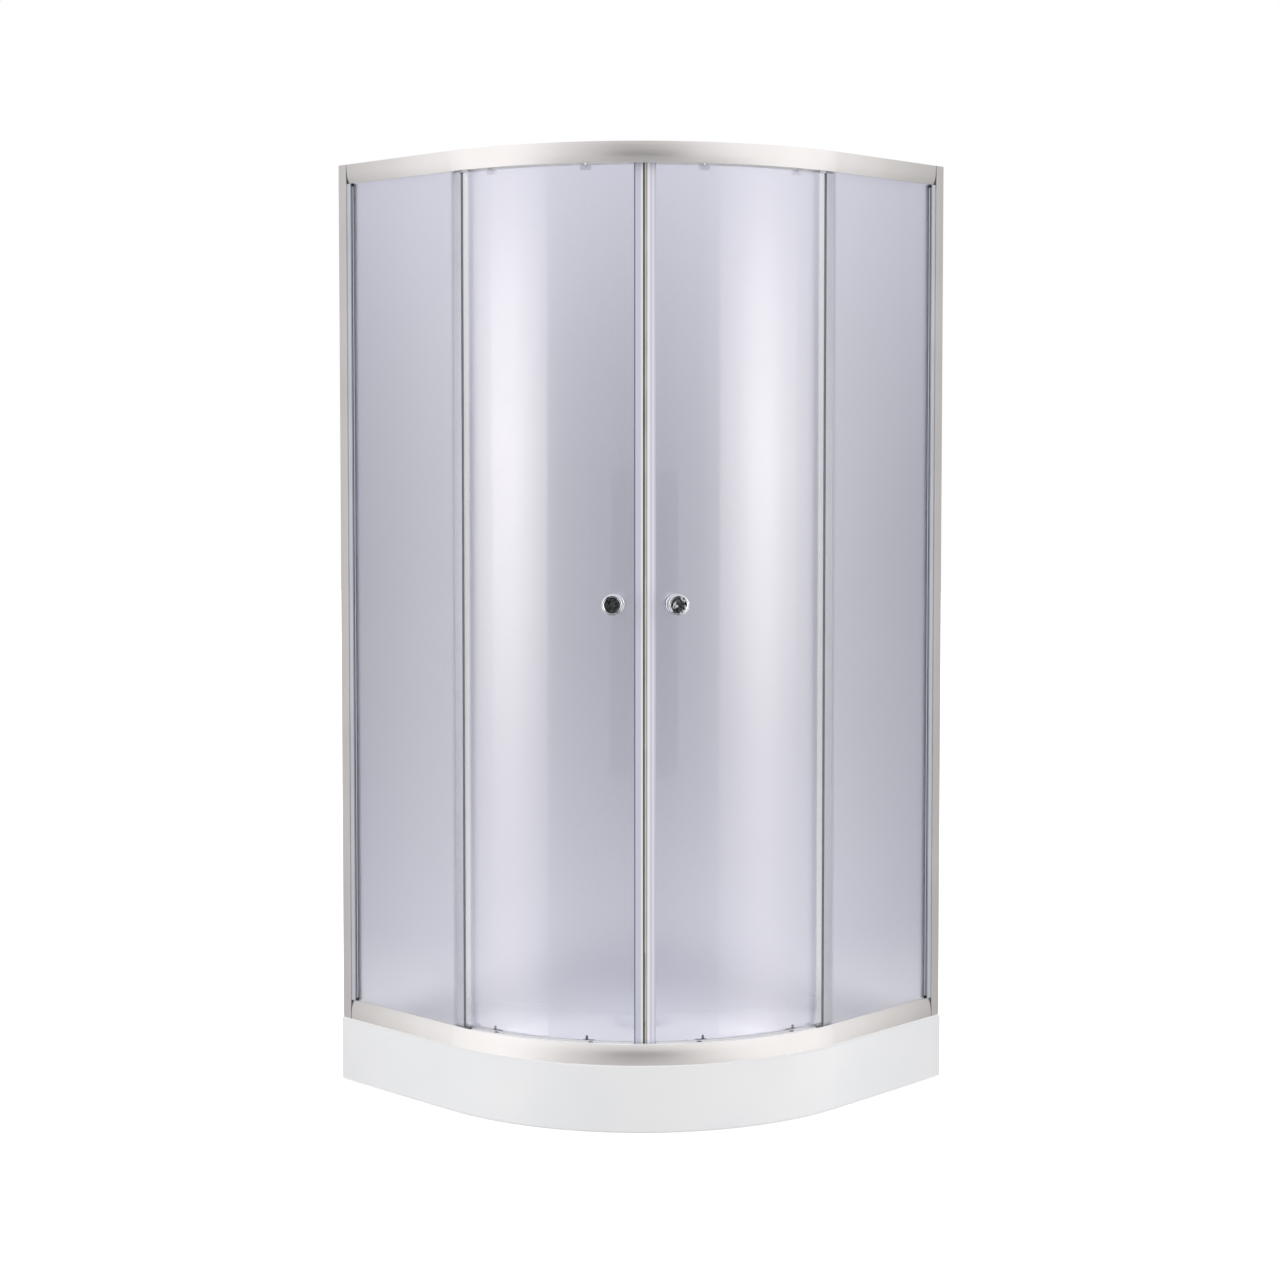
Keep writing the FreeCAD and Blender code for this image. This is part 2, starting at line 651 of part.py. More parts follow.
def make_fixed_glass():
    z0, z1 = fixed_levels()
    return box(FIXED_IN, FIXED_OUT, FIXED_EDGE_Y - CY, POST_FRONT_Y - CY + FIXED_IN_POST, z0, z1)


def clip_levels():
    """How far the clips reach out of the bottom rail and the top rail."""
    return BOTTOM_EDGE + CLIP_SHOWS, TOP_EDGE - CLIP_SHOWS


def make_edge_seal():
    """A strip that grips the pane's front edge between the clips, with a lip that leans towards the door."""
    y0 = FIXED_EDGE_Y - CY
    low, high = clip_levels()
    z0, z1 = low + RUN_GAP, high - RUN_GAP
    inner, outer = FIXED_IN - GLUE_GAP, FIXED_OUT + GLUE_GAP
    grip = box(inner - SEAL_T, outer + SEAL_T, y0 - GLUE_GAP - SEAL_T, y0 + SEAL_LEG, z0, z1)
    grip = grip.cut(box(inner, outer, y0 - GLUE_GAP, y0 + SEAL_LEG, z0, z1))
    root = y0 - GLUE_GAP
    tip = root - SEAL_LIP_REACH
    outline = [at(inner - SEAL_T, root, z0), at(inner - SEAL_LIP_DROP - SEAL_T, tip, z0),
               at(inner - SEAL_LIP_DROP, tip, z0), at(inner, root, z0), at(inner - SEAL_T, root, z0)]
    lip = Part.Face(Part.makePolygon(outline)).extrude(V(0, 0, z1 - z0))
    return joined([grip, lip])


def slot_angle(length):
    """The angle from the seam, on the glazing slot, at a length before the curved front's end."""
    return -SEAM - math.degrees(length / FIXED_IN)


def make_clips():
    """A clip in the slot before each pane's front corner, with a toe under or over the glass."""
    y0 = FIXED_EDGE_Y - CY
    u0, u1 = FIXED_IN + CLIP_SET, FIXED_OUT - CLIP_SET
    front, back = slot_angle(FIXED_REACH + CLIP_L), slot_angle(FIXED_REACH + GLUE_GAP)
    floors = TRAY_H + RAIL_WALL, TOTAL_H - RAIL_WALL
    clips = []
    for floor, glass, show in zip(floors, fixed_levels(), clip_levels()):
        low, high = sorted((floor, show))
        toe_low, toe_high = sorted((floor, glass))
        block = sector(u0, u1, front, back, low, high)
        toe = box(u0, u1, y0 - CLIP_TOE, y0 + CLIP_TOE, toe_low, toe_high)
        clips += pair(joined([block, toe]))
    return clips


def make_slot_cover(edge, sign):
    """A T-shaped strip that stands in the glazing slot between the clips and closes its mouth."""
    middle = (FIXED_IN + FIXED_OUT) / 2
    leg_in, leg_out = middle - STRIP_LEG / 2, middle + STRIP_LEG / 2
    lip_in, lip_out = FIXED_IN - STRIP_LIP, FIXED_OUT + SLOT_CLEAR - GLUE_GAP
    under = RAIL_H - STRIP_T
    corners = [(leg_in, RAIL_WALL), (leg_out, RAIL_WALL), (leg_out, under), (lip_out, under),
               (lip_out, RAIL_H), (lip_in, RAIL_H), (lip_in, under), (leg_in, under), (leg_in, RAIL_WALL)]
    section = Part.Face(Part.makePolygon([at(u, 0, edge + sign * depth) for u, depth in corners]))
    reach = slot_angle(FIXED_REACH + CLIP_L + RUN_GAP)
    return turned(section.revolve(CENTRE, UP, 2 * reach), -reach)


def make_frame_screws():
    u0 = RAIL_R - CHANNEL_DEPTH
    bevel = FRAME_SCREW_BEVEL
    profile = [(0, 0), (0, FRAME_SCREW_HEAD_R), (FRAME_SCREW_HEAD_T - bevel, FRAME_SCREW_HEAD_R),
               (FRAME_SCREW_HEAD_T, FRAME_SCREW_HEAD_R - bevel), (FRAME_SCREW_HEAD_T, 0)]
    screws = []
    for z in frame_screw_levels():
        head = spun(profile, u0, screw_y(), z, -1)
        screws += pair(joined([head, rod(FRAME_SCREW_R, u0, u0 + frame_screw_reach(), screw_y(), z)]))
    return screws


def make_stops():
    """A block in each straight end of the upper track, just past the rear wheel's last place."""
    z = TOTAL_H - TRACK_H
    u0, u1 = TRACK_WALL, TRACK_LIP
    stop = box(u0, u1, STOP_Y - CY, STOP_Y - CY + STOP_L, z, z + STOP_H)
    return pair(stop.makeFillet(LIP_T, edges_where(stop, lambda p: near(p.z, z + STOP_H))))


# Doors
def make_door_glass():
    a0 = arc_angle(DOOR_FRONT_EDGE)
    glass = sector(DOOR_IN, DOOR_OUT, a0, door_rear(), DOOR_BOTTOM, DOOR_TOP)
    cutters = [turned(rod(GLASS_HOLE_R, DOOR_IN - GLASS_T, DOOR_OUT + GLASS_T, 0, KNOB_Z), KNOB_ANGLE)]
    for angle in ROLLER_ANGLES.values():
        for y, z in ((0, TOP_SCREW_Z), (-SCREW_OFFSET, BOTTOM_SCREW_Z)):
            hole = rod(SCREW_HOLE_R, DOOR_IN - GLASS_T, DOOR_OUT + GLASS_T, y, z)
            cutters.append(turned(hole, angle))
    return glass.cut(cutters)


def door_rear():
    """The angle of the door's rear edge, a little past the fixed pane's front edge."""
    return -SEAM + arc_angle(DOOR_OVERLAP - FIXED_REACH)


def make_magnet_seal():
    a_end, a_edge = arc_angle(SEAL_END), arc_angle(DOOR_FRONT_EDGE - GLUE_GAP)
    a_front = arc_angle(MAGNET_HALF_GAP + MAGNET_W)
    inner, outer = DOOR_IN - GLUE_GAP, DOOR_OUT + GLUE_GAP
    body = sector(inner - SEAL_T, outer + SEAL_T, a_front, a_end, DOOR_BOTTOM, DOOR_TOP)
    return body.cut(sector(inner, outer, a_edge, a_end, DOOR_BOTTOM, DOOR_TOP))


def make_magnet_strip():
    low, high = DOOR_MID - MAGNET_T / 2, DOOR_MID + MAGNET_T / 2
    a0, a1 = arc_angle(MAGNET_HALF_GAP), arc_angle(MAGNET_HALF_GAP + MAGNET_W)
    return sector(low, high, a0, a1, DOOR_BOTTOM, DOOR_TOP)


def make_rear_seal():
    edge = door_rear() + arc_angle(GLUE_GAP)
    end = edge + arc_angle(SEAL_T)
    inner, outer = DOOR_IN - GLUE_GAP, DOOR_OUT + GLUE_GAP
    body = sector(inner - SEAL_T, outer + SEAL_T, edge - arc_angle(REAR_LEG), end, DOOR_BOTTOM, DOOR_TOP)
    body = body.cut(sector(inner, outer, edge - arc_angle(REAR_LEG), edge, DOOR_BOTTOM, DOOR_TOP))
    fin = sector(outer, outer + REAR_FIN, edge, end, DOOR_BOTTOM, DOOR_TOP)
    return joined([body, fin])


def knob_seats():
    """The inner knob stands further off, so that its rim clears the hollow side of the glass."""
    hollow = DOOR_IN - math.sqrt(DOOR_IN ** 2 - KNOB_BASE_R ** 2)
    return DOOR_IN - hollow - SEAT_GAP, DOOR_OUT + SEAT_GAP


def knob_radius(point):
    return math.hypot(point.y - CY, point.z - KNOB_Z)


def make_knob(face, sign):
    """A stepped knob: a base, a groove, a rounded head with a dished end, and a blind bore."""
    groove_end = KNOB_BASE_T + KNOB_GROOVE_W
    dish = KNOB_OUT - KNOB_DISH
    profile = [(0, 0), (0, KNOB_BASE_R), (KNOB_BASE_T, KNOB_BASE_R), (KNOB_BASE_T, KNOB_GROOVE_R),
               (groove_end, KNOB_GROOVE_R), (groove_end, KNOB_R), (KNOB_OUT, KNOB_R), (KNOB_OUT, KNOB_DISH_R),
               (dish, KNOB_DISH_R - KNOB_DISH), (dish, 0)]
    knob = spun(profile, face, 0, KNOB_Z, sign)
    steps = [face + sign * KNOB_OUT, face + sign * KNOB_BASE_T]
    outer = edges_where(knob, lambda p: knob_radius(p) > KNOB_R - SAME)
    rims = [edge for edge in outer if any(near(edge.Vertexes[0].X, CX + u) for u in steps)]
    knob = knob.makeFillet(KNOB_ROUND, rims)
    u0, u1 = sorted((face, face + sign * STUD_IN))
    return turned(knob.cut(rod(STUD_R + STUD_FIT, u0, u1, 0, KNOB_Z)), KNOB_ANGLE)


def make_stud():
    inner, outer = knob_seats()
    reach = STUD_IN - STUD_FIT
    return turned(rod(STUD_R, inner - reach, outer + reach, 0, KNOB_Z), KNOB_ANGLE)


def make_axle(z):
    """A shoulder against the plate, the bearing length, and a head sunk in the wheel."""
    face_in, face_out = WHEEL_U - WHEEL_W / 2, WHEEL_U + WHEEL_W / 2
    head = rod(AXLE_HEAD_R, face_in + STUD_FIT, face_in + STUD_FIT + AXLE_HEAD_T, 0, z)
    pin = rod(AXLE_R, face_in + STUD_FIT, PLATE_OUT, 0, z)
    shoulder = rod(SHOULDER_R, face_out + RUN_GAP, PLATE_OUT, 0, z)
    return [head, pin, shoulder]


def make_wheel(z):
    """A crowned running wheel, with its inner face sunk for the axle's head."""
    half = WHEEL_W / 2
    sink = half - STUD_FIT - AXLE_HEAD_T - RUN_GAP
    bore, head_bore = AXLE_R + AXLE_FIT, AXLE_HEAD_R + RUN_GAP
    edge, shoulder = WHEEL_R - 2 * WHEEL_CROWN, WHEEL_R - WHEEL_CROWN / 2
    profile = [(-half, head_bore), (-half, edge), (WHEEL_CROWN - half, shoulder), (-WHEEL_CROWN, WHEEL_R),
               (WHEEL_CROWN, WHEEL_R), (half - WHEEL_CROWN, shoulder), (half, edge), (half, bore),
               (-sink, bore), (-sink, head_bore)]
    return spun(profile, WHEEL_U, 0, z)


def make_top_bracket():
    """A flat steel plate on the inside of the glass, with a neck that rises past the track's lip."""
    foot = TOP_SCREW_Z - SCREW_EDGE
    pad = box(PLATE_IN, PLATE_OUT, -PLATE_W / 2, PLATE_W / 2, foot, DOOR_TOP)
    pad = pad.makeFillet(PLATE_ROUND, along_radius(pad.Edges))
    neck = box(PLATE_IN, PLATE_OUT, -NECK_W / 2, NECK_W / 2, TOP_SCREW_Z, TOP_WHEEL_Z)
    eye = rod(NECK_W / 2, PLATE_IN, PLATE_OUT, 0, TOP_WHEEL_Z)
    plate = joined([pad, neck, eye] + make_axle(TOP_WHEEL_Z))
    return plate.cut(rod(SCREW_R + STUD_FIT, PLATE_IN, PLATE_OUT, 0, TOP_SCREW_Z))


def make_top_screw():
    """A low head outside the glass and a nut on the bracket inside."""
    nut = rod(SCREW_HEAD_R, PLATE_IN - SCREW_HEAD_T, PLATE_IN, 0, TOP_SCREW_Z)
    shank = rod(SCREW_R, PLATE_IN - SCREW_HEAD_T, DOOR_OUT + SEAT_GAP, 0, TOP_SCREW_Z)
    head = rod(SCREW_HEAD_R, DOOR_OUT + SEAT_GAP, DOOR_OUT + SEAT_GAP + SCREW_HEAD_T, 0, TOP_SCREW_Z)
    return joined([nut, shank, head])


def housing_inner():
    return PLATE_OUT - HOUSING_DEPTH


def make_bottom_screw():
    """A domed disc outside the glass and a pan head inside the housing."""
    y, z = -SCREW_OFFSET, BOTTOM_SCREW_Z
    face = DOOR_OUT + SEAT_GAP
    disc = rod(DISC_R, face, face + DISC_T, y, z)
    disc = disc.makeFillet(DISC_ROUND, edges_where(disc, lambda p: near(p.x, CX + face + DISC_T)))
    shank = rod(SCREW_R, housing_inner() - SCREW_HEAD_T, face, y, z)
    head = rod(SCREW_HEAD_R, housing_inner() - SCREW_HEAD_T, housing_inner(), y, z)
    return joined([disc, shank, head])


def housing_floor():
    return DOOR_BOTTOM + RUN_GAP


def spring_seat():
    return housing_floor() + HOUSING_WALL


def slider_low():
    """The slider rests just under the housing's roof."""
    return HOUSING_TOP - HOUSING_ROOF - RUN_GAP - SLIDER_H


def make_housing():
    """A moulded block against the glass, with a pocket for the slider and the spring."""
    u0, u1 = housing_inner(), PLATE_OUT
    z0 = housing_floor()
    half = NECK_W / 2 + RUN_GAP
    y0, y1 = -SCREW_OFFSET - HOUSING_MARGIN, half + HOUSING_WALL + HOUSING_TAIL
    block = box(u0, u1, y0, y1, z0, HOUSING_TOP)
    top = along_radius(edges_where(block, lambda p: near(p.z, HOUSING_TOP)))
    block = block.makeFillet(HOUSING_ROUND, top)
    pocket = box(u0 + HOUSING_WALL, u1, -half, half, spring_seat(), HOUSING_TOP - HOUSING_ROOF)
    slot = box(PLATE_IN - RUN_GAP, u1, -half, half, z0, spring_seat())
    pin = Part.makeCylinder(PIN_R + RUN_GAP, HOUSING_ROOF, at(PIN_U, 0, HOUSING_TOP - HOUSING_ROOF))
    screw = rod(SCREW_R + STUD_FIT, u0, u1, -SCREW_OFFSET, BOTTOM_SCREW_Z)
    return block.cut([pocket, slot, pin, screw])


def make_plunger():
    """The release pin, its slider and the arm that carries the wheel under the track."""
    low = slider_low()
    u0 = housing_inner() + HOUSING_WALL + RUN_GAP
    half = NECK_W / 2
    slider = box(u0, PLATE_OUT, -half, half, low, low + SLIDER_H)
    shank = Part.makeCylinder(PIN_R, HOUSING_TOP - low - SLIDER_H, at(PIN_U, 0, low + SLIDER_H))
    pin = Part.makeCone(PIN_R, PIN_TIP_R, PIN_TOP - HOUSING_TOP, at(PIN_U, 0, HOUSING_TOP))
    pin = pin.makeFillet(PIN_ROUND, edges_where(pin, lambda p: near(p.z, PIN_TOP)))
    guide = Part.makeCylinder(GUIDE_R, GUIDE_L, at(PIN_U, 0, low - GUIDE_L))
    arm = box(PLATE_IN, PLATE_OUT, -half, half, BOTTOM_WHEEL_Z, low)
    eye = rod(half, PLATE_IN, PLATE_OUT, 0, BOTTOM_WHEEL_Z)
    return joined([slider, shank, pin, guide, arm, eye] + make_axle(BOTTOM_WHEEL_Z))


def biarc(p0, t0, p1, t1):
    """Two tangent arcs between two points with given directions."""
    chord = p1 - p0
    both = t0 + t1
    spread = 2 * (1 - t0.dot(t1))
    reach = (math.sqrt(chord.dot(both) ** 2 + spread * chord.dot(chord)) - chord.dot(both)) / spread
    q0, q1 = p0 + t0 * reach, p1 - t1 * reach
    joint = (q0 + q1) * 0.5
    arcs = []
    for start, control, end in ((p0, q0, joint), (joint, q1, p1)):
        middle = (start + end) * 0.5
        half = (end - start).Length / 2
        crest = middle + (control - middle) * (half / (reach + half))
        arcs.append(Part.Arc(start, crest, end).toShape())
    return arcs


def make_spring():
    """One unbroken coil between the housing's floor and the slider."""
    wire_r = SPRING_WIRE / 2
    low, high = spring_seat() + wire_r + SPRING_GAP, slider_low() - wire_r - SPRING_GAP
    quarter = math.pi / 2
    climb = (high - low) / (SPRING_TURNS * 4 * quarter)

    def place(turn):
        return at(PIN_U + SPRING_R * math.cos(turn), SPRING_R * math.sin(turn), low + climb * turn)

    def heading(turn):
        return V(-SPRING_R * math.sin(turn), SPRING_R * math.cos(turn), climb).normalize()

    edges = []
    for step in range(4 * SPRING_TURNS):
        a, b = step * quarter, (step + 1) * quarter
        edges += biarc(place(a), heading(a), place(b), heading(b))
    section = Part.Wire(Part.Circle(place(0), heading(0), wire_r).toShape())
    coil = Part.Wire(edges).makePipeShell([section], True, False)
    samples = [place(quarter * i / SPRING_SAMPLES) for i in range(4 * SPRING_SAMPLES * SPRING_TURNS + 1)]
    half_turn = 2 * SPRING_SAMPLES
    gap = min((p - q).Length for i, p in enumerate(samples) for q in samples[i + half_turn:]) - SPRING_WIRE
    print("release spring: least gap to itself %.2f mm" % gap)
    return coil


def save_each_roller(name, shape):
    for place, angle in ROLLER_ANGLES.items():
        save_pair(name + "_" + place, turned(shape, angle))


def both_rollers(shape):
    return [turned(shape, angle) for angle in ROLLER_ANGLES.values()]


os.makedirs("parts", exist_ok=True)

save("shower_tray", [make_tray()])
save("waste_flange", [make_waste_flange()])
save("waste_cover", [make_waste_cover()])
save("waste_seal", [make_waste_seal()])
save("waste_trap", [make_trap()])
support, feet_solids = make_support()
save("tray_support_frame", [support])
save("tray_feet", feet_solids)

save("bottom_rail", [make_rail(TRAY_H, 1)])
save("top_rail", [make_rail(TOTAL_H, -1)])
save("rail_end_caps", pair(make_end_cap(TRAY_H, 1)) + pair(make_end_cap(TOTAL_H, -1)))
save_pair("wall_profile", make_wall_profile())
save_pair("side_post", make_post())
save_pair("glazing_gasket", make_gasket())
save_pair("fixed_glass", make_fixed_glass())
save_pair("fixed_edge_seal", make_edge_seal())
save("glass_clips", make_clips())
save("slot_covers", [make_slot_cover(TRAY_H, 1), make_slot_cover(TOTAL_H, -1)])
save("frame_screws", make_frame_screws())
save("door_stops", make_stops())

save_pair("door_glass", make_door_glass())
save_pair("magnet_seal", make_magnet_seal())
save_pair("magnet_strip", make_magnet_strip())
save_pair("door_rear_seal", make_rear_seal())
inner_seat, outer_seat = knob_seats()
save_pair("knob_outer", make_knob(outer_seat, 1))
save_pair("knob_inner", make_knob(inner_seat, -1))
save_pair("knob_stud", make_stud())
save_pair("top_roller_brackets", *both_rollers(make_top_bracket()))
save_pair("roller_screws", *both_rollers(make_top_screw()), *both_rollers(make_bottom_screw()))
save_pair("bottom_roller_housings", *both_rollers(make_housing()))
save_each_roller("wheel_top", make_wheel(TOP_WHEEL_Z))
save_each_roller("wheel_bottom", make_wheel(BOTTOM_WHEEL_Z))
save_each_roller("release_plunger", make_plunger())
save_each_roller("release_spring", make_spring())
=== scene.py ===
import json
import math

import bpy
from mathutils import Matrix, Vector

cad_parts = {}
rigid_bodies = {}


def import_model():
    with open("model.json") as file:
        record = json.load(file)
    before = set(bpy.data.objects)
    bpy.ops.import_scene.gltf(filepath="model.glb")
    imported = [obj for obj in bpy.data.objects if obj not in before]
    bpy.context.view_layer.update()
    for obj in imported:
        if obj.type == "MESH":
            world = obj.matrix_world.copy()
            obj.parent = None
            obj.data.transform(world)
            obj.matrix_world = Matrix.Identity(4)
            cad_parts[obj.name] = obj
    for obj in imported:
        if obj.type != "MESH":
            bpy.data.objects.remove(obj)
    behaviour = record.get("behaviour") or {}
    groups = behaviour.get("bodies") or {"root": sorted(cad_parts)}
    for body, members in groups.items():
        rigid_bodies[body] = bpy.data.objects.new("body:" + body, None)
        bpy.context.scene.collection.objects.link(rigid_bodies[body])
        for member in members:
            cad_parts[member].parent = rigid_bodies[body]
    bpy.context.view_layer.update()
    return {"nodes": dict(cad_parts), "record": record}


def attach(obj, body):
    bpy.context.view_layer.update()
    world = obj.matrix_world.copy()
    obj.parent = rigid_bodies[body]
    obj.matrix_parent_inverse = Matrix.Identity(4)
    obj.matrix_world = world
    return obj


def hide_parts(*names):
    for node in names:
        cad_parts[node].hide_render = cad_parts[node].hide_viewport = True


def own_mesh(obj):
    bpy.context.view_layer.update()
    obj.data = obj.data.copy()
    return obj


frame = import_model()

UP = (0.0, 0.0, 1.0)
UNIT = (0.0, 1.0)
DIAGONAL = math.sqrt(0.5)

# Camera, from the photograph. The diagonal of the room corner is its viewing line. Metres and degrees.
IMAGE_SIZE = 1280.0
FOCAL_PIXELS = 2331.3
SENSOR_WIDTH = 36.0
CAMERA_AWAY = 4.9131
CAMERA_SIDE = -0.086
CAMERA_HEIGHT = 1.3403
CAMERA_YAW = 0.96
CAMERA_TIP = 2.8224
CAMERA_SHIFT = -0.06

# The room's light as (place, level) stops. The front goes by how far a direction turns to the camera's side,
# the back, the sides and the sky go by its height. Turns and rises are where one gives way to the next.
FRONT_LEVELS = ((0.05, 0.95), (0.34, 1.15), (0.56, 1.11), (0.73, 1.00), (0.87, 0.80), (0.96, 0.62),
                (1.00, 0.44))
FRONT_SWING = -5.0
FRONT_TURN = (-0.02, 0.05)
SIDE_LEVELS = ((-0.30, 0.12), (-0.10, 0.20), (0.10, 0.34))
BACK_TURN = (-0.60, -0.35)
BACK_LEVELS = ((-0.32, 1.3), (-0.19, 0.77), (-0.13, 0.63), (-0.065, 0.59), (0.0, 0.58), (0.06, 0.72),
               (0.105, 0.92), (0.20, 1.2))
SKY_LEVELS = ((0.25, 1.20), (0.60, 1.25), (0.85, 1.15), (1.00, 0.95))
SKY_RISE = (0.25, 0.55)
GROUND_LEVEL = 0.52
GROUND_RISE = (-0.30, -0.45)
BACKDROP = 1.0

# The studio floor
FLOOR_HALF = 14.0
FLOOR_GLOW = 0.30
FLOOR_DARK = (246, 246, 246)
FLOOR_LIGHT = (250, 250, 250)
FLOOR_CLOUDS = 1.5
FLOOR_ROUGHNESS = 0.9

# Softboxes that only glass and chrome mirror: (degrees from the viewing line, level) and (height, level)
BOX_REACH = 1.35
BOX_CENTRE_AWAY = -0.1414
BOX_RADIANCE = 3.8
BOX_WARMTH = (1.0, 0.96, 0.87, 1.0)
BOX_COLUMNS = 48
LEFT_BOX = ((-77.0, 0.0), (-73.6, 0.08), (-68.1, 0.25), (-62.9, 0.60), (-57.5, 0.93), (-54.4, 1.0),
            (-49.0, 1.0), (-42.6, 0.71), (-37.3, 0.53), (-35.7, 0.50))
RIGHT_BOX = ((28.2, 0.42), (36.1, 0.63), (42.3, 0.94), (47.8, 1.0), (55.6, 0.60), (62.9, 0.37),
             (70.9, 0.15), (78.0, 0.0))
BOX_HEIGHTS = ((-0.3, 0.25), (0.03, 0.27), (0.27, 0.30), (0.63, 0.48), (0.98, 0.81), (1.34, 1.0),
               (1.69, 0.72), (1.92, 0.32), (2.1, 0.10))

# Panels at both sides, which light the straight rails and end towards the walls
PANEL_SIDE = 1.6
PANEL_AWAY = (-0.18, 1.5)
PANEL_HEIGHT = (-0.9, 2.8)
PANEL_LEVELS = ((0.0, 0.24), (0.08, 0.42), (0.16, 0.90), (0.22, 1.0))
LEFT_PANEL = 1.17
RIGHT_PANEL = 1.13

# Fill panels further out, which only light matt surfaces
FILL_SIDE = 2.2
FILL_AWAY = (-1.6, 1.2)
FILL_HEIGHT = (-0.2, 2.4)
FILL_RADIANCE = 1.25

# The dark card that the knobs mirror
CARD_AWAY = 5.2
CARD_SIDE = (-1.45, 1.45)
CARD_HEIGHT = (0.0, 1.25)
CARD_GRAIN = 8.0
CARD_CONTRAST = (0.42, 0.62)
CARD_DARK = 0.003
CARD_LIGHT = 0.15

# Grains are scales of the fine noise along each axis, and the range is the part of a noise that is used
FINE = (900.0, 900.0, 900.0)
LENGTHWISE = (3.0, 3.0, 2600.0)
UPRIGHT = (2600.0, 2600.0, 3.0)
DRAWN = (900.0, 900.0, 3.0)
PEEL = (160.0, 160.0, 160.0)
DIMPLES = (45.0, 45.0, 45.0)
NOISE_RANGE = (0.3, 0.7)

# Finishes: darkest and lightest display colour, scale of the clouding, least and most roughness, grain,
# relief as strength and depth in metres, and sockets of the shader that are the same all over
CLEAR_ALPHA = 0.2
SATIN = dict(dark=(234, 230, 228), light=(241, 237, 236), clouds=6.0, rough=(0.30, 0.38),
             relief=(0.10, 0.0002), Metallic=1.0)
CHROME = dict(dark=(214, 217, 222), light=(226, 229, 233), clouds=30.0, Metallic=1.0)
MAGNET = dict(clouds=14.0, rough=(0.50, 0.62), grain=UPRIGHT, relief=(0.08, 0.0002))
GREY_PLASTIC = dict(dark=(92, 93, 100), light=(112, 113, 120), clouds=30.0, rough=(0.36, 0.48), grain=FINE,
                    relief=(0.10, 0.0003))
FINISHES = {
    "white_acrylic": dict(dark=(236, 237, 240), light=(243, 243, 244), clouds=4.0, rough=(0.10, 0.17),
                          grain=PEEL, relief=(0.06, 0.0006), Coat_Weight=0.4, Coat_Roughness=0.06),
    "white_plastic": dict(dark=(225, 225, 224), light=(235, 235, 234), clouds=9.0, rough=(0.36, 0.46),
                          grain=FINE, relief=(0.10, 0.0003)),
    "satin_aluminium": dict(SATIN, grain=LENGTHWISE),
    "satin_aluminium_upright": dict(SATIN, grain=UPRIGHT),
    "bright_aluminium": dict(dark=(196, 199, 206), light=(206, 209, 216), clouds=6.0, rough=(0.34, 0.42),
                             grain=UPRIGHT, relief=(0.06, 0.0002), Metallic=0.4),
    "zinc_steel": dict(dark=(172, 174, 176), light=(196, 197, 198), clouds=30.0, rough=(0.30, 0.45),
                       grain=FINE, relief=(0.10, 0.0003), Metallic=1.0),
    "steel": dict(dark=(178, 181, 186), light=(200, 202, 206), clouds=40.0, rough=(0.20, 0.30),
                  grain=FINE, relief=(0.06, 0.0002), Metallic=1.0),
    "chrome": dict(CHROME, rough=(0.04, 0.09), grain=FINE, relief=(0.02, 0.0001)),
    "knob_chrome": dict(CHROME, rough=(0.02, 0.05), grain=DIMPLES, relief=(0.6, 0.0012)),
    "clear_plastic": dict(dark=(226, 227, 232), light=(236, 237, 241), clouds=40.0, rough=(0.30, 0.40),
                          grain=FINE, relief=(0.06, 0.0002), Alpha=CLEAR_ALPHA),
    "grey_plastic": GREY_PLASTIC,
    "glass_clips": GREY_PLASTIC,
    "roller_housing": dict(dark=(116, 115, 124), light=(134, 133, 142), clouds=40.0, rough=(0.36, 0.48),
                           grain=FINE, relief=(0.10, 0.0003)),
    "roller_disc": dict(dark=(122, 121, 130), light=(138, 137, 146), clouds=40.0, rough=(0.40, 0.50),
                        grain=FINE, relief=(0.06, 0.0002)),
    "release_pin": dict(dark=(60, 60, 66), light=(78, 78, 85), clouds=40.0, rough=(0.36, 0.48),
                        grain=FINE, relief=(0.10, 0.0003)),
    "white_seal": dict(dark=(238, 238, 241), light=(246, 246, 248), clouds=12.0, rough=(0.38, 0.48),
                       grain=UPRIGHT, relief=(0.06, 0.0002)),
    "dark_magnet": dict(MAGNET, dark=(70, 66, 66), light=(92, 88, 88)),
    "grey_magnet": dict(MAGNET, dark=(176, 168, 160), light=(194, 187, 180)),
    "black_rubber": dict(dark=(34, 34, 37), light=(52, 52, 56), clouds=18.0, rough=(0.52, 0.66),
                         grain=FINE, relief=(0.12, 0.0003)),
    "nylon": dict(dark=(220, 220, 214), light=(232, 232, 227), clouds=40.0, rough=(0.40, 0.50),
                  grain=FINE, relief=(0.08, 0.0003)),
}

# Nodes on both sides whose finish isn't that of their slot
NODE_FINISHES = {
    "wall_profile": "satin_aluminium_upright",
    "roller_screws": "roller_disc",
    "top_roller_brackets": "clear_plastic",
    "door_rear_seal": "clear_plastic",
    "bottom_roller_housings": "roller_housing",
    "knob_outer": "knob_chrome",
    "release_plunger_front": "release_pin",
    "release_plunger_rear": "release_pin",
}
MIRROR_SLOTS = ("tinted_glass", "chrome")

# Heights of painted colour: painted shade on the tray's flat rim, and painted light on the rollers and clips
# at the top
RIM_HEIGHT = (0.1292, 0.1335)
RIM_PAINTED_SHADE_COLOUR = (230, 230, 232)
UPPER_HALF = (1.0, 2.0)
UPPER_DISC_PAINTED_LIGHT_COLOUR = (226, 227, 232)
UPPER_CLIP_PAINTED_LIGHT_COLOUR = (206, 207, 212)

# The vinyl strip on a fixed pane's front edge, and its spine along the pane and through it, in metres
VINYL = dict(dark=(232, 233, 238), light=(240, 241, 245), clouds=12.0, rough=(0.22, 0.28), grain=DRAWN,
             relief=(0.05, 0.0002))
VINYL_ALPHA = 0.12
SPINE_ALONG = (-0.0766, -0.0746)
SPINE_THROUGH = (-0.4378, -0.4324)
SPINE_COLOUR = (140, 143, 151)
SPINE_ALPHA = 0.70

